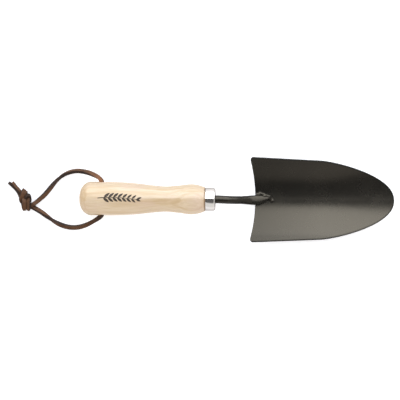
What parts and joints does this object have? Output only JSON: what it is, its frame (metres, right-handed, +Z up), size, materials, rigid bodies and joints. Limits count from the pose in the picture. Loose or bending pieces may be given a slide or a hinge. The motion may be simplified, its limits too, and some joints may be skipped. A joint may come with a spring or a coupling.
{
  "type": "hand trowel",
  "caption": "Hand trowel with a black dished blade on a cranked shank, a chromed ferrule, a turned wooden handle and a knotted leather hanging lace.",
  "frame": {"origin": "centre of the tool's footprint, on the surface it lies on, leaving out the lace", "axes": "+X from the handle's butt to the blade's tip, +Y to the tool's left, +Z up, on the blade's hollow side"},
  "size_m": [0.3936, 0.0854, 0.0379],
  "materials": {
    "black_paint": "satin black powder coat",
    "chrome": "bright chrome plate",
    "pale_wood": "clear satin lacquer over pale hardwood",
    "brown_leather": "smooth brown leather with darker cut edges"
  },
  "bodies": {
    "trowel": {"blade": "black_paint", "shank": "black_paint", "weld_bead": "black_paint", "ferrule": "chrome", "handle": "pale_wood"},
    "lanyard": {"lace_upper_strand": "brown_leather", "lace_lower_strand": "brown_leather", "lace_knot": "brown_leather", "lace_first_tail": "brown_leather", "lace_second_tail": "brown_leather"}
  },
  "joints": [
    {"name": "lanyard_swing", "type": "hinge", "parent": "trowel", "child": "lanyard", "pos_m": [-0.1365, 0, 0.01761], "axis": [0, 1, 0], "range_deg": [0, 160]}
  ]
}
